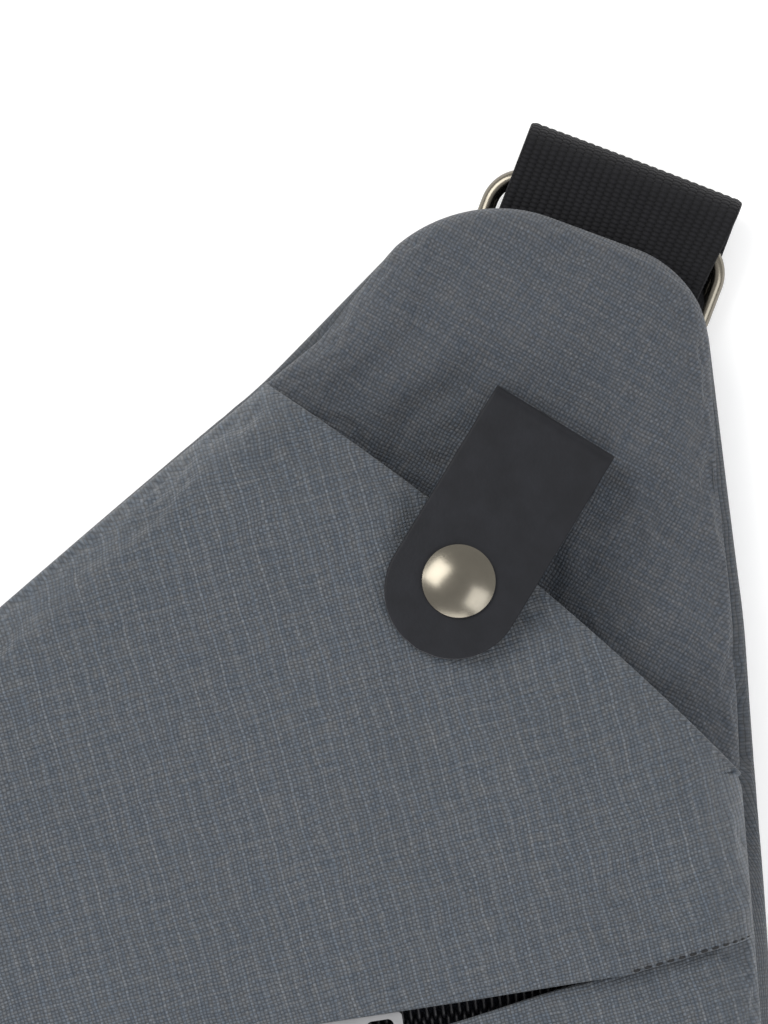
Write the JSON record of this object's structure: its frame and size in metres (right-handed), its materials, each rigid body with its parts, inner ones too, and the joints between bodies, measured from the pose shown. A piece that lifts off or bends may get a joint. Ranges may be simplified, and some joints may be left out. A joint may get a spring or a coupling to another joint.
{
  "type": "sling bag",
  "caption": "Slim padded cross-body sling bag with a slanted phone pocket, leather snap tab, hidden front zip, webbing loop, wire rings and a folded shoulder strap.",
  "frame": {"origin": "middle of the bag and its strap seen from above, on the surface that the back pads lie on", "axes": "+Z comes out of the front of the bag, +Y points up the bag towards the top loop, +X is to the right when the front is seen"},
  "size_m": [0.3426, 0.3562, 0.044],
  "materials": {
    "outer_fabric": "blue-grey ripstop polyester, woven",
    "side_fabric": "blue-grey polyester side wall",
    "lining_fabric": "dark navy lining cloth",
    "binding_tape": "black woven edge tape",
    "spacer_mesh": "black padded spacer mesh",
    "foam": "soft grey foam",
    "board": "thin stiffener sheet",
    "webbing": "black ribbed webbing",
    "tab_leather": "black matte leather with raw edges",
    "nickel": "warm polished nickel",
    "zip_tape": "black zip tape",
    "zip_coil": "black nylon coil",
    "zip_metal": "pale grey die-cast zip metal",
    "adjuster_plastic": "black moulded plastic"
  },
  "bodies": {
    "bag": {"back_panel": "side_fabric", "back_pad_left": "spacer_mesh", "back_pad_right": "spacer_mesh", "edge_binding": "binding_tape", "stiffener_board": "board", "inner_lining": "lining_fabric", "gusset": "side_fabric", "lobe_cover": "outer_fabric", "lobe_foam": "foam", "pocket_partition": "lining_fabric", "pocket_lining": "lining_fabric", "mouth_hem": "outer_fabric", "front_panel_upper": "outer_fabric", "front_panel_lower": "outer_fabric", "front_zip_tapes": "zip_tape", "front_zip_coils": "zip_coil", "front_zip_stops": "zip_metal", "main_zip_tapes": "zip_tape", "main_zip_coils": "zip_coil", "main_zip_stops": "zip_metal", "tab_base": "tab_leather", "snap_stud": "nickel", "snap_post": "nickel", "top_loop": "webbing", "shoulder_strap": "webbing", "lower_tab": "webbing"},
    "tab": {"tab_flap": "tab_leather", "snap_cap": "nickel", "snap_socket": "nickel"},
    "front_slider": {"front_slider": "zip_metal"},
    "front_pull": {"front_pull": "zip_metal"},
    "main_slider": {"main_slider": "zip_metal"},
    "main_pull": {"main_pull": "zip_metal"},
    "top_ring": {"top_ring": "nickel", "strap_top_end": "webbing"},
    "lower_ring": {"lower_ring": "nickel", "strap_lower_end": "webbing"},
    "adjuster": {"strap_adjuster": "adjuster_plastic"}
  },
  "joints": [
    {"name": "tab_fold", "type": "hinge", "parent": "bag", "child": "tab", "pos_m": [0.12945, 0.1222, 0.03574], "axis": [-0.8541, 0.5201, 0], "range_deg": [0, 160]},
    {"name": "front_slider_travel", "type": "slide", "parent": "bag", "child": "front_slider", "axis": [0.9886, 0.1504, 0], "range_m": [-0.058, 0.039]},
    {"name": "front_pull_swing", "type": "hinge", "parent": "front_slider", "child": "front_pull", "pos_m": [0.08293, 0.01046, 0.0381], "axis": [0.1504, -0.9886, 0], "range_deg": [0, 165]},
    {"name": "main_slider_travel", "type": "slide", "parent": "bag", "child": "main_slider", "axis": [0.7593, 0.6508, 0], "range_m": [0, 0.068]},
    {"name": "main_pull_swing", "type": "hinge", "parent": "main_slider", "child": "main_pull", "pos_m": [0.00682, 0.07205, 0.0152], "axis": [0, 0, -1], "range_deg": [0, 165]},
    {"name": "top_ring_swing", "type": "hinge", "parent": "bag", "child": "top_ring", "pos_m": [0.1409, 0.16163, 0.0054], "axis": [0.9345, -0.3559, 0], "range_deg": [0, 15]},
    {"name": "lower_ring_swing", "type": "hinge", "parent": "bag", "child": "lower_ring", "pos_m": [-0.02272, 0.05402, 0.0046], "axis": [0.3559, 0.9345, 0], "range_deg": [-8, 25]},
    {"name": "adjuster_slide", "type": "slide", "parent": "bag", "child": "adjuster", "axis": [0.9345, -0.3559, 0], "range_m": [-0.058, 0.048]}
  ]
}
